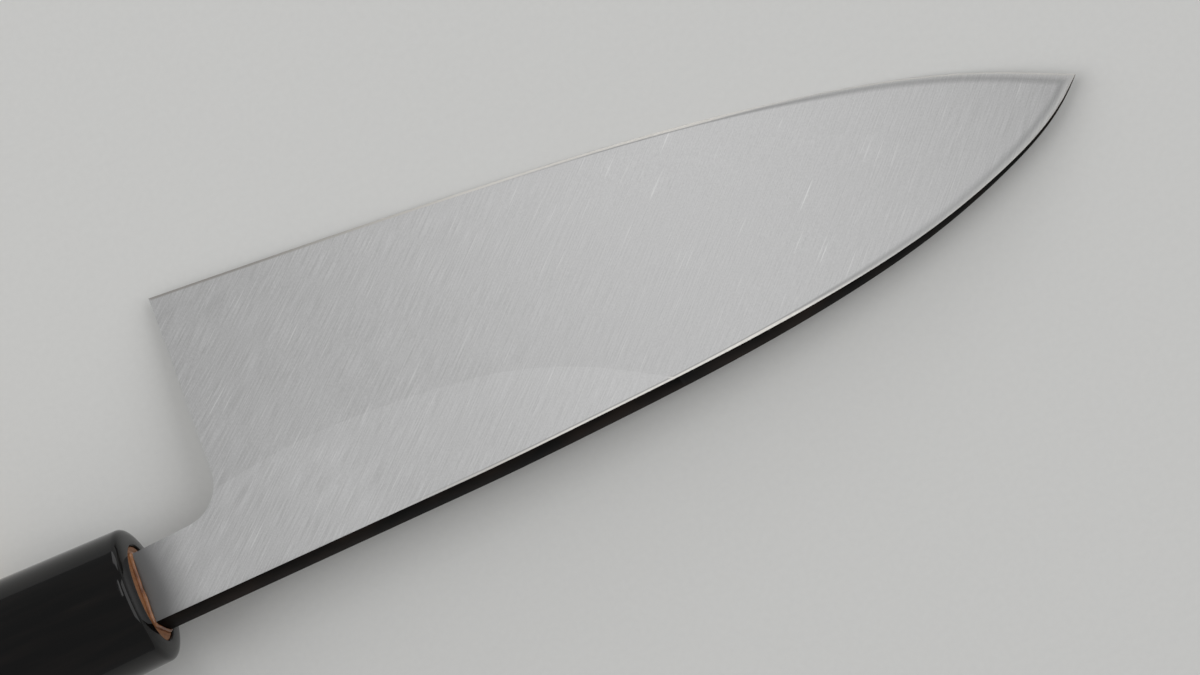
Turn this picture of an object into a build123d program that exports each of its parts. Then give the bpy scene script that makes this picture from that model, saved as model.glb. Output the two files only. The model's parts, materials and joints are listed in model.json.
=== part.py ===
from build123d import *
import os
from math import atan, cos, degrees, pi, sin, sqrt

# A single-bevel deba knife with an oval wooden handle, in millimetres.
# It is drawn in the knife's own axes first: X runs from the handle to the tip with 0 at the
# heel line, Y runs from the straight spine towards the cutting edge, and Z stands out of the
# hollow back (ura), whose rims lie at Z 0. The finished pieces are then laid down as the
# knife rests on a table, back up, with the origin on the table under the middle of the knife.

# Blade outline
blade_length = 161.4        # heel line to tip, along the spine
heel_height = 54.4          # straight spine to the point of the heel
tip_height = 20.2           # straight spine to the tip
neck_length = 18.5          # heel line to the front of the ferrule
neck_height = 13.0          # at the ferrule
neck_rise = 0.6             # how much higher the neck is at the heel than at the ferrule
choil_radius = 7.0          # round corner between neck and heel

# Blade thickness, measured down from the back
neck_thickness = 7.6
knee_thickness = 6.75       # where the two straight tapers would meet
tip_thickness = 0.5
knee_blend = 30.0           # reach of the smooth change on each side of that knee
edge_land = 0.15            # flat left at the cutting edge
bevel_width = 27.5          # shinogi line to edge, at the heel

# Back of the blade
hollow_radius = 600.0       # wheel that ground the hollow
edge_rim = 0.5              # flat rim left beside the cutting edge, at the heel
spine_rim = 0.6             # flat rim left beside the straight spine
steel_heel_thickness = 2.3  # hard steel layer at the heel
steel_tip_thickness = 0.9   # and at the tip

# Tang, inside the handle
tang_length = 92.0
tang_end_height = 6.0
tang_end_thickness = 3.6

# Dowel and the resin that seals the tang in it
dowel_lip_height = 2.4      # dowel beyond the tang, towards edge and spine
dowel_lip_width = 3.2       # and towards back and front
dowel_length = 99.0
dowel_inset = 0.3           # front of the dowel behind the front of the ferrule
seal_width = 0.65           # resin beside the tang
seal_depth = 4.0            # resin below the dowel's front
seal_bead = 0.5             # resin standing proud of the dowel's front

# Ferrule and wooden body of the handle
ferrule_length = 30.0
ferrule_wall_height = 3.4   # horn beyond the dowel at the front, towards edge and spine
ferrule_wall_width = 4.3    # and towards back and front
ferrule_growth = 1.9        # how much larger each way the ferrule is at the rear
ferrule_bevel = 1.2         # eased front rim
handle_length = 102.0       # wooden body behind the ferrule
handle_growth_height = 3.9  # how much higher the butt is than the ferrule's rear
handle_growth_width = 2.8   # and how much wider
butt_round = 1.6            # rounded rim of the butt

# Clearances and overruns
dowel_fit = 0.05            # glue line round the dowel
slot_gap = 0.25             # tang to the slot burnt in the dowel
overrun = 1.0               # how far a cut runs past what it cuts
hollow_lift = 0.1           # how far the wheel's cut runs above the back

# Outline shares: place along the blade, then height. The edge falls from the heel height to
# the tip height, and the spine rises from the straight spine to the tip height.
edge_shares = [(0, 1), (0.2, 0.892), (0.4, 0.773), (0.6, 0.626), (0.8, 0.405), (0.9, 0.238), (1, 0)]
spine_shares = [
    (0.25, 0), (0.4, 0.025), (0.6, 0.094), (0.7, 0.169), (0.8, 0.298), (0.9, 0.529), (0.95, 0.703), (1, 1)
]
# The two straight tapers of the thickness meet here along the blade.
knee_share = 0.545
# Width of the bevel at the places of the edge, as shares of its width at the heel.
bevel_shares = [1, 0.96, 0.9, 0.81, 0.67, 0.52, 0.12]
# Two lines on the back, from the choil to the spine: place along the blade, then share of the
# heel height. The hollow starts at the first one and the hard steel at the second one.
hollow_start_shares = [(0, 0.39), (0.05, 0.2), (0.1, 0.09), (0.16, 0)]
root_shares = [(0, 0.32), (0.1, 0.349), (0.22, 0.331), (0.33, 0.276), (0.43, 0.153), (0.5, 0.02)]
# Width of both rims of the hollow along the blade, and where the hollow runs out.
rim_shares = [(0, 1), (0.5, 1), (0.7, 1.4), (0.8, 2), (0.9, 3.2), (1, 5)]
hollow_end_share = 0.95
# Swelling of the handle's body: place from ferrule to butt, then share of its growth.
swell_shares = [(0, 0), (0.3, 0.45), (0.65, 0.8), (1, 1)]


# Blade blank

def edge_height(share):
    """Height of the cutting edge above the straight spine, from its share."""
    return tip_height + (heel_height - tip_height) * share


knee_place = knee_share * blade_length
neck_slope = (neck_thickness - knee_thickness) / (knee_place + neck_length)
tip_slope = (knee_thickness - tip_thickness) / (blade_length - knee_place)


def thickness_at(x):
    """Blade thickness at a place along the blade: two straight tapers joined by a parabola."""
    if x > knee_place + knee_blend:
        return tip_thickness + tip_slope * (blade_length - x)
    blend = max(x - knee_place + knee_blend, 0)
    dip = (tip_slope - neck_slope) * blend**2 / (4 * knee_blend)
    return knee_thickness + neck_slope * (knee_place - x) - dip


edge_line = Spline([(s * blade_length, edge_height(h)) for s, h in edge_shares])
spine_points = [(s * blade_length, h * tip_height) for s, h in spine_shares]
spine_line = Spline(spine_points, tangents=[(1, 0), (1, 1)])
neck_top = (-neck_length, neck_height)
neck_root = (0, neck_height + neck_rise)
choil = FilletPolyline([neck_top, neck_root, (0, heel_height)], radius=choil_radius)
straight_spine = Polyline([spine_points[0], (-neck_length, 0), neck_top])
outline = make_face(edge_line + spine_line + straight_spine + choil)
blank = extrude(outline, amount=neck_thickness + overrun, dir=(0, 0, -1))


# Front of the blade: the distal taper, then the bevel

blank_floor = -neck_thickness - 2 * overrun
taper_places = [
    -neck_length - overrun, knee_place - knee_blend, knee_place + knee_blend, blade_length + overrun
]
taper_points = [(x, 0, -thickness_at(x)) for x in taper_places]
taper_line = Line(taper_points[0], taper_points[1])
taper_line += Bezier(taper_points[1], (knee_place, 0, -knee_thickness), taper_points[2])
taper_line += Line(taper_points[2], taper_points[3])
taper_floor = [(taper_places[3], 0, blank_floor), (taper_places[0], 0, blank_floor)]
taper_line += Polyline([taper_points[3], *taper_floor, taper_points[0]])
taper_cut = extrude(make_face(taper_line), amount=heel_height + overrun, dir=(0, 1, 0), both=True)


def bevel_section(place, edge_y, width):
    """Everything under the bevel at one place along the blade."""
    depth = thickness_at(place) - edge_land
    rise = overrun * depth / width
    outer = (place, edge_y + overrun, rise - edge_land)
    inner = (place, edge_y - width - overrun, -depth - edge_land - rise)
    return Polyline([outer, inner, (place, inner[1], blank_floor), (place, outer[1], blank_floor), outer])


bevel_cut = loft([
    make_face(bevel_section(s * blade_length, edge_height(h), w * bevel_width))
    for (s, h), w in zip(edge_shares, bevel_shares)
])
beveled = blank - taper_cut - bevel_cut


# Back of the blade: the hollow between the rims

def along(shares, place):
    """Height in a table of (place, height) shares, on straight lines between its rows."""
    for (start, low), (end, high) in zip(shares, shares[1:]):
        if start <= place <= end:
            return low + (high - low) * (place - start) / (end - start)


def hollow_section(share):
    """The wheel's cut across the blade, from the rim at the spine to the rim at the edge."""
    place = share * blade_length
    widening = along(rim_shares, share)
    low = tip_height * along([(0, 0)] + spine_shares, share) + spine_rim * widening
    if share < hollow_start_shares[-1][0]:
        low = max(low, heel_height * along(hollow_start_shares, share))
    high = edge_height(along(edge_shares, share)) - edge_rim * widening
    middle = (low + high) / 2
    axis_rise = sqrt(hollow_radius**2 - (high - low)**2 / 4)
    reach = sqrt(hollow_radius**2 - (axis_rise - hollow_lift)**2)
    start = (place, middle - reach, hollow_lift)
    end = (place, middle + reach, hollow_lift)
    return ThreePointArc(start, (place, middle, axis_rise - hollow_radius), end) + Line(end, start)


hollow_places = sorted({s for s, h in hollow_start_shares + spine_shares if s <= hollow_end_share})
hollow_cut = loft([make_face(hollow_section(s)) for s in hollow_places])
ground = beveled - hollow_cut


# Hard steel layer (hagane), forge-welded under the back, and the soft iron body (jigane)

root_line = Spline([(s * blade_length, h * heel_height) for s, h in root_shares])
root_heel = (0, root_shares[0][1] * heel_height)
root_spine = (root_shares[-1][0] * blade_length, root_shares[-1][1] * heel_height)
steel_rim = Polyline([
    root_spine, (root_spine[0] + overrun, -overrun), (blade_length + overrun, -overrun),
    (blade_length + overrun, heel_height + overrun), (-overrun, heel_height + overrun),
    (-overrun, root_heel[1]), root_heel,
])
steel_plan = extrude(make_face(root_line + steel_rim), amount=neck_thickness, dir=(0, 0, 1), both=True)
steel_slope = (steel_heel_thickness - steel_tip_thickness) / blade_length
steel_side = Polyline([
    (-overrun, 0, overrun), (-overrun, 0, -steel_heel_thickness - steel_slope * overrun),
    (blade_length + overrun, 0, -steel_tip_thickness + steel_slope * overrun),
    (blade_length + overrun, 0, overrun), (-overrun, 0, overrun),
])
steel_slab = extrude(make_face(steel_side), amount=heel_height + 2 * overrun, dir=(0, 1, 0), both=True)
steel_space = steel_plan & steel_slab
hagane = ground & steel_space


# The handle's pieces lie round one axis, through the middle of the neck

def bar_section(x, height, width):
    """Rectangle across the handle's axis at one place along it."""
    return Plane.YZ.offset(x) * Pos(neck_height / 2, -neck_thickness / 2) * Rectangle(height, width)


def oval_section(x, height, width):
    """Oval across the handle's axis at one place along it."""
    return Plane.YZ.offset(x) * Pos(neck_height / 2, -neck_thickness / 2) * Ellipse(height / 2, width / 2)


# Tang, drawn out of the soft iron body
tang_end = -neck_length - tang_length
tang = loft([
    bar_section(-neck_length, neck_height, neck_thickness),
    bar_section(tang_end, tang_end_height, tang_end_thickness),
], ruled=True)
jigane = ground - steel_space + tang


# Dowel that carries the tang through the ferrule into the handle
dowel_height = neck_height + 2 * dowel_lip_height
dowel_width = neck_thickness + 2 * dowel_lip_width
dowel_front = -neck_length - dowel_inset
dowel_end = dowel_front - dowel_length
slot = loft([
    bar_section(-neck_length, neck_height + 2 * slot_gap, neck_thickness + 2 * slot_gap),
    bar_section(tang_end - slot_gap, tang_end_height + 2 * slot_gap, tang_end_thickness + 2 * slot_gap),
], ruled=True)
seal_plan = Plane.YZ.offset(dowel_front - seal_depth) * Pos(neck_height / 2, -neck_thickness / 2)
seal_plan *= RectangleRounded(neck_height + 2 * seal_width, neck_thickness + 2 * seal_width, seal_width)
seal_block = extrude(seal_plan, amount=seal_depth + seal_bead)
dowel_bar = extrude(oval_section(dowel_end, dowel_height, dowel_width), amount=dowel_length)
dowel = dowel_bar - slot - seal_block


# Resin seal round the tang at the mouth of the ferrule
seal_reach = extrude(oval_section(dowel_end, dowel_height, dowel_width), amount=dowel_length + seal_bead)
seal = (seal_block & seal_reach) - jigane


# Horn ferrule
ferrule_rear = -neck_length - ferrule_length
front_height = dowel_height + 2 * ferrule_wall_height
front_width = dowel_width + 2 * ferrule_wall_width
rear_height = front_height + ferrule_growth
rear_width = front_width + ferrule_growth
horn = loft([
    oval_section(ferrule_rear, rear_height, rear_width),
    oval_section(-neck_length, front_height, front_width),
], ruled=True)
horn = chamfer(horn.faces().sort_by(Axis.X)[-1].edges(), ferrule_bevel)
bore_length = dowel_length + dowel_inset + overrun
bore = extrude(
    oval_section(dowel_end, dowel_height + 2 * dowel_fit, dowel_width + 2 * dowel_fit), amount=bore_length
)
ferrule = horn - bore


# Wooden body of the handle
handle_sections = [
    oval_section(
        ferrule_rear - s * handle_length,
        rear_height + g * handle_growth_height,
        rear_width + g * handle_growth_width,
    )
    for s, g in swell_shares
]
wood = loft(handle_sections)
wood = fillet(wood.faces().sort_by(Axis.X)[0].edges(), butt_round)
handle = wood - bore


# Lay the knife down, back up. Its butt stays in the air: it lies on the front rim of the
# ferrule and on the bevel, where both the shinogi line and the cutting edge touch the table.

line_steps = 40  # stretches that each line which may touch the table is looked at in
roll_halvings = 20  # how often the range that holds the roll is halved


def line_points(piece):
    """Points along every edge of a piece, in the knife's own axes."""
    return [line @ (step / line_steps) for line in piece.edges() for step in range(line_steps + 1)]


def depth_of(point, roll):
    """How deep a point lies when the knife is rolled towards its cutting edge."""
    return point.Y * sin(roll) - point.Z * cos(roll)


def table_slope(points, roll):
    """Slope of the table, seen from the rolled knife, that meets the ferrule's rim and the points."""
    rim = max(rim_points, key=lambda point: depth_of(point, roll))
    return min((depth_of(rim, roll) - depth_of(p, roll)) / (p.X - rim.X) for p in points)


ferrule_middle = ferrule_rear + ferrule_length / 2
rim_points = [point for point in line_points(ferrule) if point.X > ferrule_middle]
bevel_lines = [point for point in line_points(jigane) if point.X > 0]
edge_lines = [point for point in line_points(hagane) if point.X > 0]
least_roll = 0
most_roll = pi / 4
for halving in range(roll_halvings):
    roll = (least_roll + most_roll) / 2
    if table_slope(bevel_lines, roll) < table_slope(edge_lines, roll):
        least_roll = roll
    else:
        most_roll = roll
slope = table_slope(bevel_lines, roll)
laid = Rot(0, degrees(atan(slope)), 0) * Rot(-degrees(roll), 0, 0)

pieces = {
    "blade_jigane": laid * jigane,
    "blade_hagane": laid * hagane,
    "ferrule": laid * ferrule,
    "handle_body": laid * handle,
    "handle_dowel": laid * dowel,
    "tang_seal": laid * seal,
}
whole = Compound(list(pieces.values())).bounding_box()
laid_origin = Pos(-whole.center().X, -whole.center().Y, -whole.min.Z)

os.makedirs("parts", exist_ok=True)
for name, piece in pieces.items():
    export_step(laid_origin * piece, f"parts/{name}.step")
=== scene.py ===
import json
from math import cos, pi, radians, sin, sqrt

import bmesh
import bpy
import numpy as np
from mathutils import Matrix, Vector


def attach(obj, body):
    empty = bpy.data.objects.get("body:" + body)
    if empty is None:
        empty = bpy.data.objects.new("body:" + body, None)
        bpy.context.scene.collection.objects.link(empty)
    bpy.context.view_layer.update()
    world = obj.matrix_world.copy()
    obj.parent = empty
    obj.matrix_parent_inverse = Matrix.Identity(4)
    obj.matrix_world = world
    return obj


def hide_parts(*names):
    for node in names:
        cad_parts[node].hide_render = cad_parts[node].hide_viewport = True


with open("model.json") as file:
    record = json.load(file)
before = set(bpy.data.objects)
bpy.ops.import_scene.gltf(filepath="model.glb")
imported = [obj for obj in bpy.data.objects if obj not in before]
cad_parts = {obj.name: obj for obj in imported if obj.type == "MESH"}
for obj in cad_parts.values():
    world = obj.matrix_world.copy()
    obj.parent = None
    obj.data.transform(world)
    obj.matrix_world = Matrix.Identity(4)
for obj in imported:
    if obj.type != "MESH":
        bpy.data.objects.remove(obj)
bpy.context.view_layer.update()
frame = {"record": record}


# The knife as it lies on the table, back up. The butt of the handle and the flat of the blade's
# back are mounts of the record, and they give the knife's own axes: X from handle to tip with 0
# at the heel line, Y from spine to cutting edge, Z out of the hollow back. Sizes are in mm.

neck_length = 18.5          # heel line to the front of the ferrule
neck_height = 13.0
neck_thickness = 7.6
ferrule_length = 30.0
handle_length = 102.0
mm = 0.001                  # in metres

mounts = {mount["name"]: mount for mount in frame["record"]["mounts"]}
ferrule_front = -neck_length
ferrule_rear = ferrule_front - ferrule_length
butt_end = ferrule_rear - handle_length
axis_height, axis_depth = neck_height / 2, -neck_thickness / 2
toward_tip = -Vector(mounts["butt_end"]["axis"])
out_of_back = Vector(mounts["blade_back"]["axis"])
lie = Matrix((toward_tip, out_of_back.cross(toward_tip), out_of_back)).transposed()
butt = Vector((butt_end, axis_height, axis_depth))
heel_line = Vector(mounts["butt_end"]["pos_m"]) - lie @ butt * mm


# Soft iron body of the blade (jigane), with the neck and the tang in one piece. It is forged and
# filed to an even taper, and its flat and its side of the back are ground on a wheel. The spine is
# painted near black, a painted dark reflection in place of the mirror that a polished spine would
# show. Fine hairlines from the wheel cross the whole back.

blade_length = 161.4        # heel line to tip, along the spine
heel_height = 54.4          # straight spine to the point of the heel
tip_height = 20.2           # straight spine to the tip
neck_rise = 0.6             # how much higher the neck is at the heel than at the ferrule
choil_radius = 7.0          # round corner between neck and heel
knee_thickness = 6.75       # where the two straight tapers would meet
knee_blend = 30.0           # reach of the smooth change on each side of that knee
tip_thickness = 0.5
edge_land = 0.15            # flat left at the cutting edge
bevel_width = 27.5          # shinogi line to edge, at the heel
edge_rim = 0.5              # flat rims that the wheel left beside the edge
spine_rim = 0.6             # and beside the spine
wheel_radius = 600.0
steel_heel_depth = 2.3      # under side of the hard steel, at the heel
steel_tip_depth = 0.9       # and at the tip
weld_slant = 1.0            # the hard steel was drawn out thin where it ends
weld_step = 1.0             # and it comes round the corner of the spine in this length
weld_waves = [(0.22, 17.0), (0.16, 10.3), (0.1, 6.1)]    # how far the weld wanders, and over what length
tang_length = 92.0
tang_end_height = 6.0
tang_end_thickness = 3.6
spine_ease = 0.12           # filed off the corners of the spine
rim_line = 0.15             # half of the thin dull line where the stone ran out, beside each rim
soft_line = 1.0             # half of its width near the tip, where it turns soft
line_moves = 0.35           # share of the rim by which the soft line lies nearer to the outline
line_loss = 0.45            # how much of the line is lost there
rim_loss = 0.8              # and how much of the rim's finish, apart from this much beside the outline, kept pale as a painted highlight of the eased corner
painted_outline_highlight = 0.45       # this much beside the outline
spine_rim_fades = (26, 48)  # the spine's rim comes in over this stretch
edge_line_fades = (60, 85)  # and the line beside the edge's rim over this one
tip_softens = (100, 132)    # the crisp lines turn soft over this stretch
hollow_blend = (8, 40)      # and the start of the hollow turns crisp over this one

# The blade's lines, as a maker's templates. A place is a share of the blade's length from the heel
# line; beside it stands a share of the rise, of the bevel's width or of the width of the rims.
knee_share = 0.545
edge_shares = [(0, 1), (0.2, 0.892), (0.4, 0.773), (0.6, 0.626), (0.8, 0.405), (0.9, 0.238), (1, 0)]
spine_shares = [
    (0.25, 0), (0.4, 0.025), (0.6, 0.094), (0.7, 0.169), (0.8, 0.298), (0.9, 0.529), (0.95, 0.703), (1, 1)
]
bevel_shares = [1, 0.96, 0.9, 0.81, 0.67, 0.52, 0.12]
weld_shares = [(0, 0.32), (0.1, 0.349), (0.22, 0.331), (0.33, 0.276), (0.43, 0.153), (0.5, 0.02)]
hollow_start_shares = [(0, 0.39), (0.05, 0.2), (0.1, 0.09), (0.16, 0)]
rim_shares = [(0, 1), (0.5, 1), (0.7, 1.4), (0.8, 2), (0.9, 3.2), (1, 5)]


def measured(shares, high, low=0.0):
    """Places along the blade and heights there, in mm, from a table of shares."""
    return [(place * blade_length, low + (high - low) * share) for place, share in shares]


def smooth_line(points, first_slope=None, last_slope=None):
    """Height at any place of a smooth line through the points, free at an end with no slope."""
    xs, ys = np.array(points, float).T
    gaps, rises = np.diff(xs), np.diff(ys)
    ties = np.zeros((len(xs), len(xs)))
    pull = np.zeros(len(xs))
    for i in range(1, len(xs) - 1):
        ties[i, i - 1:i + 2] = 1 / gaps[i - 1], 2 / gaps[i - 1] + 2 / gaps[i], 1 / gaps[i]
        pull[i] = 3 * (rises[i - 1] / gaps[i - 1]**2 + rises[i] / gaps[i]**2)
    ties[0, :2] = (2, 1) if first_slope is None else (1, 0)
    pull[0] = 3 * rises[0] / gaps[0] if first_slope is None else first_slope
    ties[-1, -2:] = (1, 2) if last_slope is None else (0, 1)
    pull[-1] = 3 * rises[-1] / gaps[-1] if last_slope is None else last_slope
    slopes = np.linalg.solve(ties, pull)

    def height(x):
        i = min(max(int(np.searchsorted(xs, x)) - 1, 0), len(gaps) - 1)
        t = (x - xs[i]) / gaps[i]
        ends = (1 + 2 * t) * (1 - t)**2 * ys[i] + t * t * (3 - 2 * t) * ys[i + 1]
        return ends + gaps[i] * t * (1 - t) * ((1 - t) * slopes[i] - t * slopes[i + 1])

    return height


spine_heights = measured(spine_shares, tip_height)
weld_heights = measured(weld_shares, heel_height)
hollow_starts = measured(hollow_start_shares, heel_height)
bevel_widths = [
    (place * blade_length, share * bevel_width) for (place, _), share in zip(edge_shares, bevel_shares)
]
rising_spine = smooth_line(spine_heights, 0, 1)
edge_at = smooth_line(measured(edge_shares, heel_height, tip_height))
bevel_at = smooth_line(bevel_widths)
weld_line = smooth_line(weld_heights)
heel_weld = weld_heights[0][1]
weld_end = weld_heights[-1][0]      # where the weld meets the spine
hollow_whole = hollow_starts[-1][0]     # from here on the hollow reaches down to the spine's rim
knee_place = knee_share * blade_length
neck_slope = (neck_thickness - knee_thickness) / (knee_place + neck_length)
tip_slope = (knee_thickness - tip_thickness) / (blade_length - knee_place)
choil_top = neck_height + neck_rise + choil_radius      # where its round corner ends in the heel
rounding_error = 1e-6


def spine_at(x):
    """The spine: straight from the neck, then falling to the tip."""
    return rising_spine(x) if x > spine_heights[0][0] else 0.0


def weld_at(x):
    """Where the hard steel starts on the back, or the spine where it reaches that."""
    return max(weld_line(x), spine_at(x) + spine_ease) if x <= weld_end else spine_at(x)


def rims_at(x):
    """Inner sides of the flat rims that the wheel left beside the spine and the edge."""
    growth = np.interp(x / blade_length, *zip(*rim_shares))
    start = np.interp(x, *zip(*hollow_starts))
    return max(spine_at(x) + spine_rim * growth, start), edge_at(x) - edge_rim * growth


def back_at(x, y):
    """The back: the wheel's shallow hollow between the rims, which starts softly at the neck."""
    low, high = rims_at(x)
    if x < 0 or not low < y < high:
        return 0.0
    soft = 1 - float(np.interp(x, hollow_blend, (0, 1)))
    return -(y - low) * (high - y) / (2 * wheel_radius) * (1 - soft * ((high - y) / (high - low))**2)


def thickness_at(x):
    """Two straight tapers, joined by a smooth change."""
    if x > knee_place + knee_blend:
        return tip_thickness + tip_slope * (blade_length - x)
    blend = max(x - knee_place + knee_blend, 0)
    rounding = (tip_slope - neck_slope) * blend**2 / (4 * knee_blend)
    return knee_thickness + neck_slope * (knee_place - x) - rounding


def front_at(x, y):
    """The blade's front: the flat down to the shinogi line, then the bevel to the edge."""
    thick = thickness_at(x)
    bevel = edge_land + (thick - edge_land) * (edge_at(x) - y) / bevel_at(x)
    return -min(thick, bevel) if x >= 0 else -thick


def steel_depth(x):
    """Under side of the hard steel layer."""
    return steel_heel_depth + (steel_tip_depth - steel_heel_depth) * x / blade_length


def shinogi_at(x):
    """The shinogi line, where the flat of the front meets the bevel."""
    return max(edge_at(x) - bevel_at(x), spine_at(x))


def seam_at(x):
    """The weld on the bevel, which wanders a little between the two steels."""
    share = (steel_depth(x) - edge_land) / (thickness_at(x) - edge_land)
    wander = sum(reach * sin(2 * pi * x / length) for reach, length in weld_waves)
    return max(edge_at(x) - (bevel_at(x) + wander) * share, shinogi_at(x))


def under_steel(x, y):
    """Under side of the hard steel, which comes out on the bevel at the seam."""
    past_seam = y > seam_at(x) - rounding_error
    return front_at(x, y) if past_seam else max(-steel_depth(x), front_at(x, y))


def choil_at(x):
    """Top of the neck, then the round corner up to the heel."""
    rise = choil_radius - sqrt(choil_radius**2 - max(x + choil_radius, 0)**2)
    return neck_height + neck_rise * (x + neck_length) / neck_length + rise


def rows(start, end, count):
    """Evenly spaced numbers from start to end."""
    return [start + (end - start) * i / (count - 1) for i in range(count)]


heel_foot = heel_weld + weld_slant      # under side of the weld at the heel
foot_share = (choil_top - heel_foot) / (seam_at(0) - heel_foot)     # the choil's top on the way to the seam


def wrapped(x):
    """How far the steel has come round the corner of the spine, from 0 to all of it, 1."""
    return min(max((x - weld_end) / weld_step, 0), 1)


def spine_face(x, low, high, upper_ease=spine_ease):
    """The spine's face from front to back, with its corners filed round."""
    y = spine_at(x)
    lower = min(spine_ease, (high - low) / 3)
    upper = min(upper_ease, (high - low) / 3)
    turns = rows(0, pi / 2, 4)
    front = [(x, y + lower - lower * sin(a), low + lower - lower * cos(a)) for a in turns]
    return front + [(x, y + upper - upper * cos(a), high - upper + upper * sin(a)) for a in turns]


def soft_at(x):
    """How softly the rims end: 0 along most of the blade, 1 near the tip."""
    return float(np.interp(x, tip_softens, (0, 1)))


def band_at(x):
    """Half of the width of the line between a rim and the hollow."""
    return rim_line + (soft_line - rim_line) * soft_at(x)


rim_points, line_points, hollow_points = 6, 4, 12       # over each stretch of the iron's back


def back_rows(x, start, rim, end):
    """Points up the back from start to end, closer together where the hollow leaves the rim."""
    rim = min(max(rim, start), end)
    inner = min(rim + band_at(x), end)
    heights = rows(start, rim, rim_points)
    heights += rows(rim, inner, line_points)[1:] + rows(inner, end, hollow_points)[1:]
    return [(x, y, back_at(x, y)) for y in heights]


def new_shape():
    """A piece before it has any skin: points in knife millimetres, faces, and a finish for each."""
    return {"points": [], "faces": [], "finish": []}


def skin(shape, rings, closed=False):
    """Covers rings with faces. A ring is strips of points with a finish, each sharing its ends."""
    finishes = [finish for finish, strip in rings[0] for gap in strip[1:]]
    first, count = len(shape["points"]), len(finishes)
    for ring in rings:
        shape["points"] += [point for finish, strip in ring for point in strip[:-1]]
    for row in range(len(rings) if closed else len(rings) - 1):
        here, there = first + row * count, first + (row + 1) % len(rings) * count
        for i in range(count):
            j = (i + 1) % count
            shape["faces"].append((here + i, here + j, there + j, there + i))
            shape["finish"].append(finishes[i])


def cap(shape, outline, finish):
    """Closes a flat outline with one face."""
    first = len(shape["points"])
    shape["points"] += outline
    shape["faces"].append(tuple(range(first, first + len(outline))))
    shape["finish"].append(finish)


def outline_of(ring):
    """The points of a ring in one list, each once."""
    return [point for finish, strip in ring for point in strip[:-1]]


def rim_at(x, y):
    """How much the back has of a rim's own finish, and of the dull line at its inner side. Near the tip the
    strip beside the outline also gets the rim's pale finish, as a painted highlight of the eased corner.
    """
    if x < 0:
        return 0.0, 0.0
    low, high = rims_at(x)
    soft, band = soft_at(x), band_at(x)
    inside = min(y - low, high - y)
    outer = max(min(y - spine_at(x), edge_at(x) - y), 0)
    inside += soft * line_moves * max(outer - inside, rim_line)
    line = max(1 - abs(inside) / band, 0) * (1 - line_loss * soft)
    rim = min(max(-inside / band, 0), 1) * (1 - rim_loss * soft)
    # Painted highlight: near the tip the strip beside the outline is pale, as the eased corner catching the
    # light.
    rim = max(rim, soft * (1 - outer / painted_outline_highlight))
    if y - low < high - y:
        fade = float(np.interp(x, spine_rim_fades, (0, 1)))
        return rim * fade, line * fade
    return rim, line * float(np.interp(x, edge_line_fades, (0, 1)))


same_place = 2e-6           # metres: points closer than this are one
no_length = 1e-6            # and an edge shorter than this is none


def forge(name, shape, materials, node, crease=22, rims=False):
    """Makes the closed piece, lays it where the knife lies, and lets it stand for its solid. Faces
    that meet at more than the crease, in degrees, keep a sharp edge between them."""
    mesh = bpy.data.meshes.new(name)
    mesh.from_pydata([heel_line + lie @ Vector(p) * mm for p in shape["points"]], [], shape["faces"])
    mesh.polygons.foreach_set("material_index", shape["finish"])
    for material in materials:
        mesh.materials.append(material)
    shell = bmesh.new()
    shell.from_mesh(mesh)
    bmesh.ops.remove_doubles(shell, verts=shell.verts, dist=same_place)
    bmesh.ops.dissolve_degenerate(shell, edges=shell.edges, dist=no_length)
    bmesh.ops.recalc_face_normals(shell, faces=shell.faces)
    shell.to_mesh(mesh)
    shell.free()
    if rims:
        places = [lie.transposed() @ (vertex.co - heel_line) / mm for vertex in mesh.vertices]
        shares = [rim_at(x, y) for x, y, z in places]
        for finish, values in zip(("stone_rim_and_outline_highlight", "rim_line"), zip(*shares)):
            mesh.attributes.new(finish, "FLOAT", "POINT").data.foreach_set("value", values)
    mesh.shade_smooth()
    mesh.set_sharp_from_angle(angle=radians(crease))
    piece = bpy.data.objects.new(name, mesh)
    bpy.context.scene.collection.objects.link(piece)
    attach(piece, "root")
    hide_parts(node)


def colour(code):
    """Linear colour of an sRGB hex value."""
    shares = [int(code[i:i + 2], 16) / 255 for i in (1, 3, 5)]
    return [s / 12.92 if s <= 0.04045 else ((s + 0.055) / 1.055)**2.4 for s in shares] + [1.0]


def add_node(tree, kind, sockets=None, **settings):
    """Adds a node with its settings; each socket gets a value or the output it is linked to."""
    node = tree.nodes.new("ShaderNode" + kind)
    for name, value in settings.items():
        setattr(node, name, value)
    for key, value in (sockets or {}).items():
        if isinstance(value, bpy.types.NodeSocket):
            tree.links.new(value, node.inputs[key])
        else:
            node.inputs[key].default_value = value
    return node


def knife_millimetres(tree):
    """The place of each point on the knife's own axes, in mm."""
    place = add_node(tree, "TexCoord").outputs["Object"]
    return add_node(tree, "Mapping", {
        "Vector": place, "Location": heel_line, "Rotation": lie.to_euler(), "Scale": (mm, mm, mm),
    }, vector_type="TEXTURE").outputs["Vector"]


def new_finish(name):
    """A new material and its empty tree of nodes."""
    material = bpy.data.materials.new(name)
    material.use_nodes = True
    material.node_tree.nodes.clear()
    return material, material.node_tree


def finish_off(tree, sockets):
    """The surface itself: the material's own shader, joined to its output."""
    shader = add_node(tree, "BsdfPrincipled", sockets)
    add_node(tree, "OutputMaterial", {"Surface": shader.outputs["BSDF"]})


wheel_centre = (750, 676, 0)    # the hairlines fan out very slightly from a far point
fan_reach = 930                 # its distance from the middle of the blade


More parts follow.
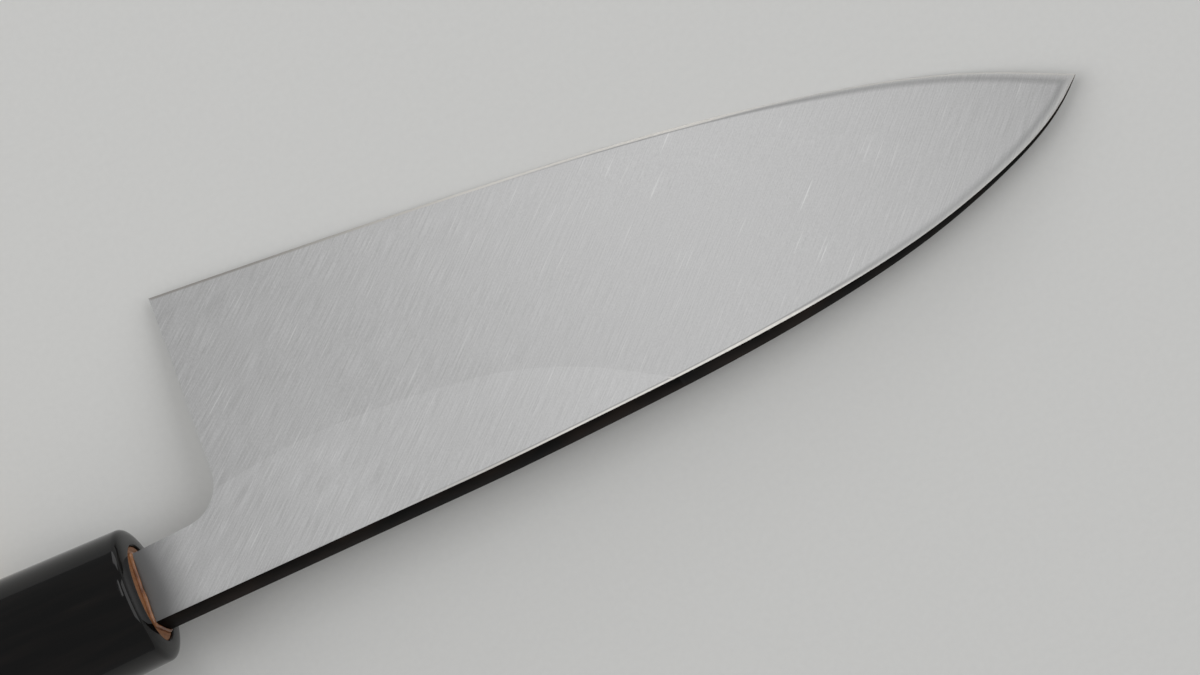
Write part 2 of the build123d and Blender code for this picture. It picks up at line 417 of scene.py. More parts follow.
def hairlines(tree, gap, length, detail=2.0):
    """Strength of the lines left by the wheel's grit, one gap apart and one length long."""
    place = knife_millimetres(tree)
    ray = add_node(tree, "VectorMath", {0: place, 1: wheel_centre}, operation="SUBTRACT")
    parts = add_node(tree, "SeparateXYZ", {0: ray.outputs[0]})
    turn = add_node(tree, "Math", {0: parts.outputs["Y"], 1: parts.outputs["X"]}, operation="ARCTAN2")
    reach = add_node(tree, "VectorMath", {0: ray.outputs[0]}, operation="LENGTH")
    across = add_node(tree, "Math", {0: turn.outputs[0], 1: fan_reach / gap}, operation="MULTIPLY")
    along = add_node(tree, "Math", {0: reach.outputs["Value"], 1: 1 / length}, operation="MULTIPLY")
    lines = add_node(tree, "CombineXYZ", {0: across.outputs[0], 1: along.outputs[0]})
    return add_node(tree, "TexNoise", {
        "Vector": lines.outputs[0], "Scale": 1.0, "Detail": detail, "Roughness": 0.6}).outputs["Fac"]


crystal_size = 0.3          # mottle of the metal between the lines
stray_gap = 0.3             # stray scratches are the strongest of lines this far apart
stray_length = 9.0
stray_shade = "#e4e4e3"
grit_depth = 0.004 * mm
rims_brighten = (20, 60)    # the stone's rims grow brighter over this stretch
rim_cover = 0.85            # how far the stone's finish hides the wheel's
shade_and_stain_fades = (11, 1)       # the painted shade and stain beside the ferrule comes in between these distances from it


def ground_steel(name, dark, light, rough, gap=0.22, length=7.0, grain=0.3, rims=None, shade_and_stain=None):
    """Steel ground on a wheel: a satin of fine hairlines, which scatter the light, and a few stray
    scratches. The real lines are 0.02 to 0.1 mm apart; they are drawn as coarse as a view shows."""
    material, tree = new_finish(name)
    place = knife_millimetres(tree)
    lines = hairlines(tree, gap, length)
    crystals = add_node(tree, "TexNoise", {
        "Vector": place, "Scale": 1 / crystal_size, "Detail": 1.0}).outputs["Fac"]
    satin = add_node(tree, "Mix", {"Factor": grain, "A": lines, "B": crystals}).outputs["Result"]
    level = add_node(tree, "MapRange", {
        "Value": satin, "From Min": 0.3, "From Max": 0.7}).outputs["Result"]
    shade = add_node(tree, "Mix", {
        "Factor": level, "A": colour(dark), "B": colour(light)}, data_type="RGBA").outputs["Result"]
    stray = hairlines(tree, stray_gap, stray_length, 0.0)
    scratch = add_node(tree, "MapRange", {
        "Value": stray, "From Min": 0.74, "From Max": 0.84, "To Max": 0.4}).outputs["Result"]
    shade = add_node(tree, "Mix", {
        "Factor": scratch, "A": shade, "B": colour(stray_shade)}, data_type="RGBA").outputs["Result"]
    rough_here = add_node(tree, "MapRange", {
        "Value": lines, "From Min": 0.25, "From Max": 0.75, "To Min": rough - 0.05, "To Max": rough + 0.05,
    }).outputs["Result"]
    if rims:
        along = add_node(tree, "SeparateXYZ", {0: place}).outputs["X"]
        at_heel, beyond, beside = [colour(code) for code in rims]
        worked = add_node(tree, "MapRange", {
            "Value": along, "From Min": rims_brighten[0], "From Max": rims_brighten[1]}).outputs["Result"]
        rim_shade = add_node(tree, "Mix", {
            "Factor": worked, "A": at_heel, "B": beyond}, data_type="RGBA").outputs["Result"]
        for share, finish in (("stone_rim_and_outline_highlight", rim_shade), ("rim_line", beside)):
            here = add_node(tree, "Attribute", attribute_name=share).outputs["Fac"]
            part = add_node(tree, "Math", {0: here, 1: rim_cover}, operation="MULTIPLY").outputs[0]
            shade = add_node(tree, "Mix", {
                "Factor": part, "A": shade, "B": finish}, data_type="RGBA").outputs["Result"]
    # Painted shade: the steel darkens towards the ferrule, standing for its shade and dark reflection,
    # partly a resin stain.
    if shade_and_stain:
        along = add_node(tree, "SeparateXYZ", {0: place}).outputs["X"]
        far, close = [ferrule_front + distance for distance in shade_and_stain_fades]
        near = add_node(tree, "MapRange", {
            "Value": along, "From Min": far, "From Max": close,
        }, interpolation_type="SMOOTHSTEP").outputs["Result"]
        shade = add_node(tree, "Mix", {
            "Factor": near, "A": shade, "B": colour(shade_and_stain)}, data_type="RGBA").outputs["Result"]
    bump = add_node(tree, "Bump", {"Height": satin, "Strength": 0.5, "Distance": grit_depth})
    finish_off(tree, {
        "Base Color": shade, "Metallic": 1.0, "Roughness": rough_here, "Normal": bump.outputs["Normal"]})
    return material


# Wheel-ground iron is a bright even satin. A fine stone made the rims paler, with a dull line where
# it ran out; near the tip the pale rim runs on to the outline as a painted highlight. The neck is
# darker beside the ferrule: painted shade and dark reflection of the ferrule, partly a resin stain.
# The bevel is hazy, from a softer stone that leaves broad short lines. Filed iron, on the choil and
# inside, is duller and coarser.
stoned = ("#a19d98", "#d8d5cf", "#828282")      # rims at the heel, beyond it (there also the painted highlight at the outline), and the line beside them
ferrule_shade_and_stain = "#808080"
iron_back = ground_steel(
    "wheel_ground_soft_iron", "#b4b4b4", "#d0d0d0", 0.35, rims=stoned, shade_and_stain=ferrule_shade_and_stain)
iron_front = ground_steel("wheel_ground_front_flat", "#acacac", "#c8c8c8", 0.36)
iron_bevel = ground_steel(
    "hazy_soft_iron_bevel", "#8b8b8c", "#a6a6a7", 0.5, gap=0.6, length=5, grain=0.5)
filed_iron = ground_steel("filed_soft_iron", "#8c8b89", "#a3a2a0", 0.4, gap=0.25, length=8)

# Painted dark reflection on the spine: near black with brown patches, and almost no mirror of its
# own, so it shows the dark that a polished spine would reflect instead of the pale table.
patch_size = 12.5
spine_dark_paint, tree = new_finish("spine_painted_dark_reflection")
patches = add_node(tree, "TexNoise", {
    "Vector": knife_millimetres(tree), "Scale": 1 / patch_size, "Detail": 4.0, "Roughness": 0.55,
}).outputs["Fac"]
brown = add_node(tree, "MapRange", {
    "Value": patches, "From Min": 0.42, "From Max": 0.68}).outputs["Result"]
# Painted dark reflection: the spine's near-black colour, with brown patches.
spine_dark_shade = add_node(tree, "Mix", {
    "Factor": brown, "A": colour("#0c0b0b"), "B": colour("#251d19")}, data_type="RGBA").outputs["Result"]
finish_off(tree, {"Base Color": spine_dark_shade, "Roughness": 0.35, "Specular IOR Level": 0.005})

iron_finishes = [iron_back, spine_dark_paint, iron_front, iron_bevel, filed_iron]
BACK, SPINE, FLAT, BEVEL, FILED = range(5)
iron_end = 155.8            # beyond it the blade is all hard steel
blade_steps = 190           # rings across the blade
tip_crowding = 1.3          # how much closer they stand towards the tip
heel_places = {0.4, 1.0, 2.0}       # and more of them beside the heel line
weld_places = {hollow_whole, weld_end, weld_end + weld_step / 3, weld_end + weld_step}
ring_shares = [1 - (1 - i / blade_steps)**tip_crowding for i in range(blade_steps + 1)]
blade_places = sorted({round(blade_length * share, 3) for share in ring_shares} | heel_places | weld_places)
iron = new_shape()


def iron_ring(x):
    """Round the soft iron across the blade: spine, back, weld, under the steel, bevel, flat. The
    kink and the fold are places where the heel's first ring meets the neck's last one."""
    spine, flank, depth = spine_at(x), weld_at(x), steel_depth(x)
    shinogi, seam = shinogi_at(x), seam_at(x)
    top = -depth * wrapped(x)
    slant = weld_slant * (1 - wrapped(x))
    face = spine_face(x, front_at(x, spine), top, spine_ease if x <= weld_end else 0)
    back = [face[-1]] * (rim_points + line_points + hollow_points - 2)
    if x < weld_end:
        back = back_rows(x, face[-1][1], rims_at(x)[0], flank)
    foot = back[-1][1] + slant
    wall = [back[-1], (x, foot - slant / 2, (back[-1][2] - depth) / 2), (x, foot, -depth)]
    kink = foot + (seam - foot) * foot_share
    fold = spine + (shinogi - spine) * choil_top / shinogi_at(0)
    return [
        (SPINE, face), (BACK, back), (FILED, wall),
        (FILED, [(x, y, -depth) for y in rows(foot, kink, 3)]),
        (FILED, [(x, y, under_steel(x, y)) for y in rows(kink, seam, 8)]),
        (BEVEL, [(x, y, front_at(x, y)) for y in rows(seam, shinogi, 9)]),
        (FLAT, [(x, y, front_at(x, y)) for y in rows(shinogi, fold, 5)]),
        (FLAT, [(x, y, front_at(x, y)) for y in rows(fold, face[0][1], 7)]),
    ]


def neck_ring(x):
    """Round the neck: spine, back, side below and above the steel, front."""
    top, depth, thick = choil_at(x), steel_heel_depth, thickness_at(x)
    face = spine_face(x, -thick, 0)
    edge = min(top, heel_weld)
    foot = edge + weld_slant * max(top - heel_weld, 0) / (choil_top - heel_weld)
    return [
        (SPINE, face), (BACK, back_rows(x, face[-1][1], edge, edge)),
        (FILED, [(x, edge, 0), (x, (edge + foot) / 2, -depth / 2), (x, foot, -depth)]),
        (FILED, [(x, y, -depth) for y in rows(foot, top, 3)]),
        (FILED, [(x, top, z) for z in rows(-depth, -thick, 6)]),
        (FLAT, [(x, y, -thick) for y in rows(top, face[0][1], 7)]),
    ]


corner_places = rows(-choil_radius / 4, 0, 200)
weld_choil = float(np.interp(heel_weld, [choil_at(x) for x in corner_places], corner_places))
arc_places = [choil_radius * (sin(turn) - 1) for turn in rows(0, pi / 2, 17)]
straight_places = [-neck_length * share for share in (1, 0.8, 0.6)]
neck_places = sorted({weld_choil, *straight_places, *arc_places})
neck_rings = [neck_ring(x) for x in neck_places]


def tang_ring(x):
    """The neck's last ring, drawn in towards the tang's end."""
    share = (x + neck_length) / -tang_length
    high = 1 - share * (1 - tang_end_height / neck_height)
    thick = 1 - share * (1 - tang_end_thickness / neck_thickness)
    return [
        (finish, [(x, axis_height + (y - axis_height) * high, axis_depth + (z - axis_depth) * thick)
                  for _, y, z in strip])
        for finish, strip in neck_rings[0]
    ]


tang_rings = [tang_ring(x) for x in rows(-neck_length - tang_length, -neck_length, 12)[:-1]]
iron_rings = [iron_ring(x) for x in blade_places if x < iron_end] + [iron_ring(iron_end)]
skin(iron, tang_rings + neck_rings)
skin(iron, iron_rings)
cap(iron, outline_of(tang_rings[0]), FILED)
cap(iron, outline_of(iron_rings[-1]), BEVEL)
heel = [point for finish, strip in iron_rings[0][4:7] for point in strip[:-1]]
cap(iron, heel + neck_rings[-1][4][1][:0:-1], FILED)
forge("soft_iron_body", iron, iron_finishes, "blade_jigane", rims=True)


# Hard steel layer (hagane), forge-welded under the hollow back. It makes the cutting edge, shows
# as most of the back and as a bright band along the bevel, and is ground with the iron.

# On the back it has the iron's satin, a shade darker, which is all that shows the weld there. The
# bevel's band is polished on a stone, so it is smoother and mirrors more than the hazy iron.
steel_back = ground_steel("wheel_ground_hard_steel", "#aeaeae", "#cbcbcb", 0.35, rims=stoned)
steel_bevel = ground_steel(
    "stone_polished_edge_steel", "#b4b4b5", "#c6c6c7", 0.2, gap=0.2, length=12)
steel_finishes = [steel_back, steel_bevel, filed_iron, spine_dark_paint]
S_BACK, S_BEVEL, S_INSIDE, S_SPINE = range(4)
steel = new_shape()


def steel_face(x):
    """Where the steel shows on the spine, with its upper corner filed round."""
    spine, flank = spine_at(x), weld_at(x)
    if x <= weld_end:
        return [(x, flank, back_at(x, flank))] * 6
    bottom = -min(steel_depth(x), -front_at(x, spine)) * wrapped(x)
    ease = min(spine_ease, -bottom / 3, (edge_at(x) - spine) / 4)
    turns = rows(0, pi / 2, 4)
    corner = [(x, spine + ease - ease * cos(a), ease * sin(a) - ease) for a in turns]
    return [(x, spine, bottom), (x, spine, (bottom - ease) / 2)] + corner


def steel_ring(x):
    """Round the hard steel across the blade: spine, rims and hollow, edge, bevel, under side."""
    face, edge = steel_face(x), edge_at(x)
    start = face[-1][1]
    low, high = [min(max(rim, start), edge) for rim in rims_at(x)]
    if low > high:
        low = high = (low + high) / 2
    band = min(band_at(x), (high - low) / 2)
    kink = start + (low - start) * (choil_top - heel_weld) / (rims_at(0)[0] - heel_weld)
    across = rows(kink, low, 3) + rows(low, low + band, 5)[1:] + rows(low + band, high - band, 20)[1:]
    across += rows(high - band, high, 5)[1:] + rows(high, edge, 6)[1:]
    bevel_top = seam_at(x) if thickness_at(x) > steel_depth(x) else shinogi_at(x)
    foot = face[0][1] + weld_slant * (1 - wrapped(x))
    fold = foot + (bevel_top - foot) * foot_share
    under = [(x, y, under_steel(x, y)) for y in rows(bevel_top, fold, 8)]
    inner = [(x, y, under_steel(x, y)) for y in rows(fold, foot, 3)]
    middle = (x, (face[0][1] + foot) / 2, (face[0][2] + inner[-1][2]) / 2)
    land = [(x, edge, -edge_land / 2), (x, edge, -edge_land)]
    return [
        (S_SPINE, face), (S_BACK, [(x, y, back_at(x, y)) for y in rows(start, kink, 8)]),
        (S_BACK, [(x, y, back_at(x, y)) for y in across] + land),
        (S_BEVEL, [(x, y, front_at(x, y)) for y in rows(edge, bevel_top, 9)]),
        (S_INSIDE, under), (S_INSIDE, inner), (S_INSIDE, [inner[-1], middle, face[0]]),
    ]


def steel_corner_ring(x):
    """The steel's small corner on the round of the choil, from the weld line to the outline."""
    top = choil_at(x)
    foot = heel_weld + weld_slant * (top - heel_weld) / (choil_top - heel_weld)
    return [
        (S_BACK, [(x, y, 0) for y in rows(heel_weld, top, 8)]),
        (S_INSIDE, [(x, top, z) for z in rows(0, -steel_heel_depth, 3)]),
        (S_INSIDE, [(x, y, -steel_heel_depth) for y in rows(top, foot, 3)]),
        (S_INSIDE, [(x, foot, -steel_heel_depth), (x, (heel_weld + foot) / 2, -steel_heel_depth / 2),
                    (x, heel_weld, 0)]),
    ]


steel_rings = [steel_ring(x) for x in blade_places]
corner_rings = [steel_corner_ring(x) for x in neck_places if x >= weld_choil]
skin(steel, steel_rings)
skin(steel, corner_rings)
heel = [point for finish, strip in steel_rings[0][2:5] for point in strip[:-1]]
cap(steel, heel + corner_rings[-1][1][1][:0:-1], S_INSIDE)
forge("hard_steel_layer", steel, steel_finishes, "blade_hagane", rims=True)


# Dowel: a turned wooden core, glued into ferrule and handle. The red-hot tang was burnt into it,
# which left a scorched slot; only its end shows, as a thin brown ring in the ferrule's mouth.

wood_above_tang = 2.4       # and below it
wood_beside_tang = 3.2      # on each side
dowel_length = 99.0
dowel_inset = 0.3           # front of the dowel behind the front of the ferrule
dowel_ease = 0.2            # its turned corners
slot_gap = 0.25             # tang to the burnt slot
seal_width = 0.65           # resin beside the tang
seal_depth = 4.0            # resin below the dowel's front
squareness = 9              # the slot's corners are only a little round
turns_round = 96            # points round the handle
dowel_height = neck_height + 2 * wood_above_tang
dowel_width = neck_thickness + 2 * wood_beside_tang
dowel_front = ferrule_front - dowel_inset
dowel_end = dowel_front - dowel_length
seal_floor = dowel_front - seal_depth


def oval(x, high, wide):
    """Ring of points round the handle's axis, of half a height and half a width."""
    angles = rows(0, 2 * pi, turns_round + 1)
    return [(0, [(x, axis_height + high * cos(a), axis_depth + wide * sin(a)) for a in angles])]


def slot_ring(x, high, wide):
    """Ring round a slot, with its points in line with those of an oval."""
    ring = []
    for a in rows(0, 2 * pi, turns_round + 1):
        lean = (abs(cos(a)) / high)**squareness + (abs(sin(a)) / wide)**squareness
        reach = lean**(-1 / squareness)
        ring.append((x, axis_height + reach * cos(a), axis_depth + reach * sin(a)))
    return [(0, ring)]


def slot_at(x, gap):
    """Ring round the tang at one place, a gap away from it."""
    share = (x + neck_length) / -tang_length
    high = (neck_height + (tang_end_height - neck_height) * share) / 2
    wide = (neck_thickness + (tang_end_thickness - neck_thickness) * share) / 2
    return slot_ring(x, high + gap, wide + gap)


grain_bends = 0.012         # how often the grain bends in a millimetre of length
bend_reach = (0, 7, 7)      # and how far
ring_lie = (0.01, 1, 0.35)  # the year rings run with the handle, a little turned round its axis
wave_repeat = 0.314         # a wave texture of scale 1 repeats in this length
fibres_to_mm = 3.5          # side by side; drawn coarser than the real ones of 0.03 mm
pores_to_mm = 5.0           # side by side, again coarser than the real ones of 0.07 mm
pores_along = 0.3           # and one behind the other
grain_depth = 0.03 * mm     # left by the plane or by the sandpaper


def split_wood(name, dark, light, rough, ring_gap, fibre):
    """Split and planed wood: straight fibres along the knife, thin late-wood lines and fine pores.
    They give it fine dark streaks on a pale ground, and a sheen that breaks up along the grain."""
    material, tree = new_finish(name)
    place = knife_millimetres(tree)
    drift = add_node(tree, "TexNoise", {
        "Vector": place, "Scale": grain_bends, "Detail": 2.0}).outputs["Color"]
    bent = add_node(tree, "VectorMath", {0: drift, 1: bend_reach, 2: place}, operation="MULTIPLY_ADD")
    flat = add_node(tree, "VectorMath", {0: bent.outputs[0], 1: ring_lie}, operation="MULTIPLY")
    rings = add_node(tree, "TexWave", {
        "Vector": flat.outputs[0], "Scale": wave_repeat / ring_gap, "Distortion": 0.5, "Detail": 2.0,
    }, wave_type="BANDS", bands_direction="Y", wave_profile="SIN").outputs["Fac"]
    late_wood = add_node(tree, "MapRange", {
        "Value": rings, "From Min": 0.55, "From Max": 1.0, "To Max": 0.26}).outputs["Result"]
    fibres_at = add_node(tree, "VectorMath", {
        0: place, 1: (1 / fibre, fibres_to_mm, fibres_to_mm)}, operation="MULTIPLY")
    fibres = add_node(tree, "TexNoise", {
        "Vector": fibres_at.outputs[0], "Scale": 1.0, "Detail": 4.0}).outputs["Fac"]
    pores_at = add_node(tree, "VectorMath", {
        0: place, 1: (pores_along, pores_to_mm, pores_to_mm)}, operation="MULTIPLY")
    pores = add_node(tree, "TexNoise", {
        "Vector": pores_at.outputs[0], "Scale": 1.0, "Detail": 1.0}).outputs["Fac"]
    pits = add_node(tree, "MapRange", {
        "Value": pores, "From Min": 0.62, "From Max": 0.72, "To Max": 0.6}).outputs["Result"]
    streaks = add_node(tree, "MapRange", {
        "Value": fibres, "From Min": 0.35, "From Max": 0.7, "To Max": 0.36}).outputs["Result"]
    lines = add_node(tree, "Math", {0: late_wood, 1: streaks}, operation="ADD").outputs[0]
    level = add_node(tree, "Math", {0: lines, 1: pits}, operation="ADD", use_clamp=True).outputs[0]
    shade = add_node(tree, "Mix", {
        "Factor": level, "A": colour(light), "B": colour(dark)}, data_type="RGBA").outputs["Result"]
    rough_here = add_node(tree, "MapRange", {
        "Value": fibres, "From Min": 0.3, "From Max": 0.7, "To Min": rough - 0.07, "To Max": rough + 0.07,
    }).outputs["Result"]
    bump = add_node(tree, "Bump", {
        "Height": level, "Strength": 0.5, "Distance": grain_depth}, invert=True)
    finish_off(tree, {
        "Base Color": shade, "Roughness": rough_here, "IOR": 1.5, "Normal": bump.outputs["Normal"]})
    return material


# The hot tang scorched it, so it is much darker than fresh wood.
dowel_wood = split_wood("scorched_dowel_wood", "#5e3c28", "#9c6c49", 0.5, ring_gap=1.2, fibre=12)
dowel = new_shape()
high, wide = dowel_height / 2, dowel_width / 2
mouth_high, mouth_wide = neck_height / 2 + seal_width, neck_thickness / 2 + seal_width
dowel_rings = [slot_at(-neck_length - tang_length - slot_gap, slot_gap), slot_at(seal_floor, slot_gap)]
dowel_rings += [slot_ring(x, mouth_high, mouth_wide) for x in (seal_floor, dowel_front)]
dowel_rings += [oval(dowel_front, high - dowel_ease, wide - dowel_ease)]
dowel_rings += [oval(x, high, wide) for x in rows(dowel_front - dowel_ease, dowel_end + dowel_ease, 8)]
dowel_rings += [oval(dowel_end, high - dowel_ease, wide - dowel_ease)]
skin(dowel, dowel_rings)
cap(dowel, outline_of(dowel_rings[0]), 0)
cap(dowel, outline_of(dowel_rings[-1]), 0)
forge("dowel", dowel, [dowel_wood], "handle_dowel")


# Resin seal, poured warm round the tang in the mouth of the ferrule. It keeps water out, and set
# as an uneven glossy bead that stands a little proud of the dowel.

seal_bead = 0.5             # resin standing proud of the dowel's front
seal_clear = 0.02           # left free between the resin and the tang or the dowel
bead_waves = [(0.1, 3, 1.0), (0.07, 7, 0.0)]    # how uneven the bead is, how often and where
bead_profile = [    # its height above the dowel's front, and how far out from the tang, as shares
    (0.9, 0.1), (1.25, 0.25), (1.35, 0.5), (1.2, 0.75), (0.8, 0.95), (0.35, 1.0)
]

# Resin that set as it flowed: a smooth gloss in amber and brown, and a little light goes into it.
resin_streams = 0.35        # to a millimetre
resin_ripple = 0.2 * mm
seal_resin, tree = new_finish("poured_brown_resin")
resin_flow = add_node(tree, "TexNoise", {
    "Vector": knife_millimetres(tree), "Scale": resin_streams, "Detail": 2.0}).outputs["Fac"]
amber = add_node(tree, "MapRange", {
    "Value": resin_flow, "From Min": 0.35, "From Max": 0.7}).outputs["Result"]
resin_shade = add_node(tree, "Mix", {
    "Factor": amber, "A": colour("#6b4128"), "B": colour("#a8764e")}, data_type="RGBA").outputs["Result"]
resin_bump = add_node(tree, "Bump", {"Height": resin_flow, "Strength": 0.4, "Distance": resin_ripple})
finish_off(tree, {
    "Base Color": resin_shade, "Roughness": 0.16, "IOR": 1.54,
    "Subsurface Weight": 0.1, "Subsurface Radius": (0.002, 0.001, 0.0005), "Subsurface Scale": 0.5,
    "Normal": resin_bump.outputs["Normal"],
})
seal = new_shape()


def bead_ring(x, out):
    """Ring on the bead, out from the tang by a share of its width, and a little uneven."""
    ring = slot_ring(x, neck_height / 2 + seal_width * out, neck_thickness / 2 + seal_width * out)
    bead = []
    for i, (_, y, z) in enumerate(ring[0][1]):
        turn = 2 * pi * i / turns_round
        swell = sum(size * sin(times * turn + shift) for size, times, shift in bead_waves)
        bead.append((x + swell * seal_bead, y, z))
    return [(0, bead)]


seal_rings = [slot_at(x, seal_clear) for x in rows(seal_floor, dowel_front, 4)]
seal_rings += [bead_ring(dowel_front + seal_bead * up, out) for up, out in bead_profile]
seal_rings += [slot_ring(x, mouth_high - seal_clear, mouth_wide - seal_clear)
               for x in (dowel_front, seal_floor)]
skin(seal, seal_rings, closed=True)
forge("resin_seal", seal, [seal_resin], "tang_seal", crease=70)


# Ferrule: a collar of black water buffalo horn, bored for the dowel, filed to an oval that grows
# towards the handle, its front rim eased, and polished to a deep gloss.

ferrule_wall_height = 3.4   # horn beyond the dowel at the front, towards edge and spine
ferrule_wall_width = 4.3    # and towards back and front
ferrule_growth = 1.9        # how much larger each way it is at the rear
ferrule_ease = 1.35         # how far its front rim is eased back
glue_line = 0.05            # between the dowel and its bore
face_edge = 0.1             # last of the flat face, drawn in by this much more than the eased rim
face_break = 0.15           # and set back by this much
bore_ease = 0.2             # filed off the rims of the bore
rear_ease = 0.1             # and off the rim of the rear

# Horn polished on a wheel: near black, with brown streaks along its fibres that only show in strong
# light, and a mirror that breaks up a little between them.
streak_length, streak_width = 20, 2
horn, tree = new_finish("polished_black_horn")
fibres_at = add_node(tree, "VectorMath", {
    0: knife_millimetres(tree), 1: (1 / streak_length, 1 / streak_width, 1 / streak_width),
}, operation="MULTIPLY").outputs[0]
streaks = add_node(tree, "TexNoise", {"Vector": fibres_at, "Scale": 1.0, "Detail": 5.0}).outputs["Fac"]
brown = add_node(tree, "MapRange", {
    "Value": streaks, "From Min": 0.45, "From Max": 0.8}).outputs["Result"]
horn_shade = add_node(tree, "Mix", {
    "Factor": brown, "A": colour("#040404"), "B": colour("#120e0c")}, data_type="RGBA").outputs["Result"]
horn_rough = add_node(tree, "MapRange", {
    "Value": streaks, "From Min": 0.3, "From Max": 0.7, "To Min": 0.06, "To Max": 0.11}).outputs["Result"]
finish_off(tree, {
    "Base Color": horn_shade, "Roughness": horn_rough, "IOR": 1.54, "Specular IOR Level": 0.3})
ferrule = new_shape()
front_high, front_wide = dowel_height / 2 + ferrule_wall_height, dowel_width / 2 + ferrule_wall_width
bore_high, bore_wide = dowel_height / 2 + glue_line, dowel_width / 2 + glue_line


def ferrule_ring(x, drawn_in=0.0):
    """Ring round the outside of the ferrule, or a little inside of it."""
    growth = ferrule_growth / 2 * (ferrule_front - x) / ferrule_length
    return oval(x, front_high + growth - drawn_in, front_wide + growth - drawn_in)


ferrule_rings = [oval(ferrule_front - bore_ease, bore_high, bore_wide)]
ferrule_rings += [oval(ferrule_front, bore_high + bore_ease, bore_wide + bore_ease)]
ferrule_rings += [ferrule_ring(ferrule_front, ferrule_ease + face_edge)]
for turn in rows(0, pi / 2, 8)[1:]:
    x = ferrule_front - face_break - (ferrule_ease - face_break) * (1 - cos(turn))
    ferrule_rings.append(ferrule_ring(x, ferrule_ease * (1 - sin(turn))))
side_start = ferrule_front - 1.5 * ferrule_ease
ferrule_rings += [ferrule_ring(x) for x in rows(side_start, ferrule_rear + rear_ease, 10)]
ferrule_rings += [ferrule_ring(ferrule_rear, rear_ease)]
ferrule_rings += [oval(ferrule_rear, bore_high + bore_ease, bore_wide + bore_ease)]
ferrule_rings += [oval(ferrule_rear + bore_ease, bore_high, bore_wide)]
skin(ferrule, ferrule_rings, closed=True)
forge("horn_ferrule", ferrule, [horn], "ferrule", crease=35)


# Body of the handle: one block of white magnolia, bored for the dowel and glued up against the
# ferrule, shaped to an oval that swells towards the butt, and sanded to a dry, silky matt.

handle_growth_height = 3.9  # how much higher the butt is than the ferrule's rear
handle_growth_width = 2.8   # and how much wider
butt_round = 1.6            # rounded rim of the butt
swell_shares = [(0, 0), (0.3, 0.45), (0.65, 0.8), (1, 1)]   # along the handle, and of that growth

# Magnolia is pale and close-grained, so its year rings are wide apart and faint.
handle_wood = split_wood("sanded_white_magnolia", "#a88a5e", "#cfb68a", 0.55, ring_gap=2.1, fibre=30)
handle = new_shape()
swell_at = smooth_line(swell_shares)


def handle_ring(x, drawn_in=0.0):
    """Ring round the outside of the handle, or a little inside of it."""
    swell = swell_at((ferrule_rear - x) / handle_length)
    high = front_high + (ferrule_growth + handle_growth_height * swell) / 2
    wide = front_wide + (ferrule_growth + handle_growth_width * swell) / 2
    return oval(x, high - drawn_in, wide - drawn_in)


handle_rings = [oval(dowel_end - glue_line, bore_high - bore_ease, bore_wide - bore_ease)]
handle_rings += [oval(x, bore_high, bore_wide) for x in (dowel_end + bore_ease, ferrule_rear - bore_ease)]
handle_rings += [oval(ferrule_rear, bore_high + bore_ease, bore_wide + bore_ease)]
handle_rings += [handle_ring(ferrule_rear, rear_ease)]
handle_rings += [handle_ring(x) for x in rows(ferrule_rear - rear_ease, butt_end + butt_round, 38)]
handle_rings += [handle_ring(butt_end + butt_round * (1 - sin(turn)), butt_round * (1 - cos(turn)))
                 for turn in rows(0, pi / 2, 8)[1:]]
skin(handle, handle_rings)
cap(handle, outline_of(handle_rings[0]), 0)
cap(handle, outline_of(handle_rings[-1]), 0)
forge("wooden_handle", handle, [handle_wood], "handle_body", crease=35)


# Table: a plain pale sheet, larger than the view, that the knife lies on.

table_size = 8              # metres
flecks_to_metre = 900.0     # matt paper is all but one colour, with flecks of its fibres

paper, tree = new_finish("pale_matte_sheet")
flecks = add_node(tree, "TexNoise", {
    "Vector": add_node(tree, "TexCoord").outputs["Object"], "Scale": flecks_to_metre, "Detail": 2.0,
}).outputs["Fac"]
paper_shade = add_node(tree, "Mix", {
    "Factor": flecks, "A": colour("#e0e0de"), "B": colour("#e5e5e3")}, data_type="RGBA").outputs["Result"]
finish_off(tree, {"Base Color": paper_shade, "Roughness": 0.8, "Specular IOR Level": 0.2})
bpy.ops.mesh.primitive_plane_add(size=table_size, location=(0, 0, 0))
table = bpy.context.object
table.name = "table"
table.data.materials.append(paper)


# Light: an even, rather dim studio sky, a soft box over the blade that its satin back answers to,
# and three large dim ones, past the tip, the butt and the edge, that light the table and the handle.

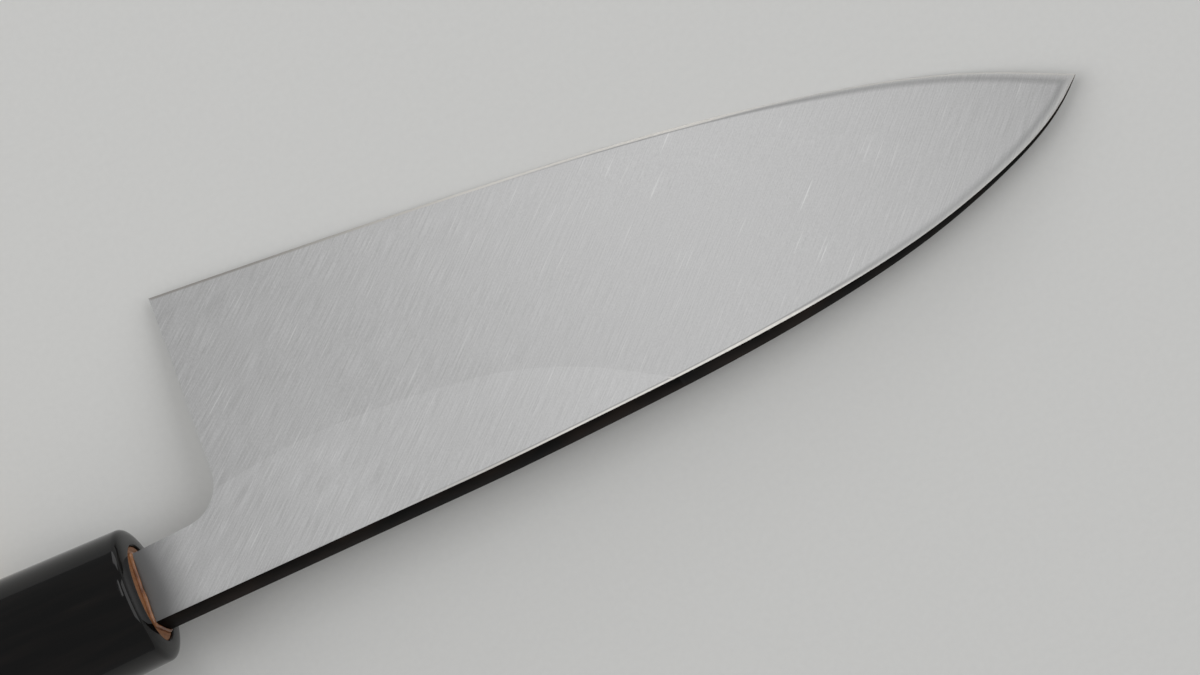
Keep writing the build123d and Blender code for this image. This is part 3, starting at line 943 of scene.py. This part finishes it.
sky_strength = 0.3
blade_middle = (60, 25, 0)
sky = bpy.data.worlds.new("studio_sky")
sky.use_nodes = True
bpy.context.scene.world = sky
sky.node_tree.nodes["Background"].inputs["Color"].default_value = (1, 1, 1, 1)
sky.node_tree.nodes["Background"].inputs["Strength"].default_value = sky_strength


def soft_box(name, aim, direction, distance, size, radiance):
    """An area lamp in metres, facing a point of the knife in mm from a direction of its axes."""
    lamp = bpy.data.lights.new(name, "AREA")
    lamp.shape = "RECTANGLE"
    lamp.size, lamp.size_y = size
    lamp.energy = radiance * pi * size[0] * size[1]
    holder = bpy.data.objects.new(name, lamp)
    bpy.context.scene.collection.objects.link(holder)
    toward = lie @ Vector(direction).normalized()
    side = -toward_tip.cross(toward).cross(toward).normalized()
    place = Matrix.Translation(heel_line + lie @ Vector(aim) * mm + toward * distance)
    holder.matrix_world = place @ Matrix((side, toward.cross(side), toward)).transposed().to_4x4()


soft_box("overhead_box", (-15, 256, 0), (0, 0, 1), distance=1.1, size=(0.3, 0.5), radiance=1.9)
soft_box("tip_side_box", blade_middle, (0.78, -0.1, 0.62), distance=2.4, size=(2.0, 2.4), radiance=1.4)
soft_box("handle_side_box", blade_middle, (-0.8, 0.1, 0.6), distance=2.4, size=(2.0, 2.4), radiance=1.3)
soft_box("edge_side_box", blade_middle, (0.35, 0.88, 0.36), distance=2.4, size=(2.0, 1.4), radiance=1.4)


# Camera, at the photograph's angle: 561 mm from the blade, on the side of the spine.

eye = Vector((146.99, -157.95, 528.87))             # on the knife's axes, as are the directions
across_view = Vector((0.9000, -0.3602, -0.2454))
up_view = Vector((0.4144, 0.8816, 0.2259))
lens = bpy.data.cameras.new("view")
lens.sensor_width, lens.lens = 36.0, 100.0
lens.clip_start = 0.01
camera = bpy.data.objects.new("view", lens)
bpy.context.scene.collection.objects.link(camera)
toward_eye = across_view.cross(up_view)
facing = lie @ Matrix((across_view, up_view, toward_eye)).transposed()
camera.matrix_world = Matrix.Translation(heel_line + lie @ eye * mm) @ facing.to_4x4()
bpy.context.scene.camera = camera
bpy.context.scene.view_settings.view_transform = "Standard"
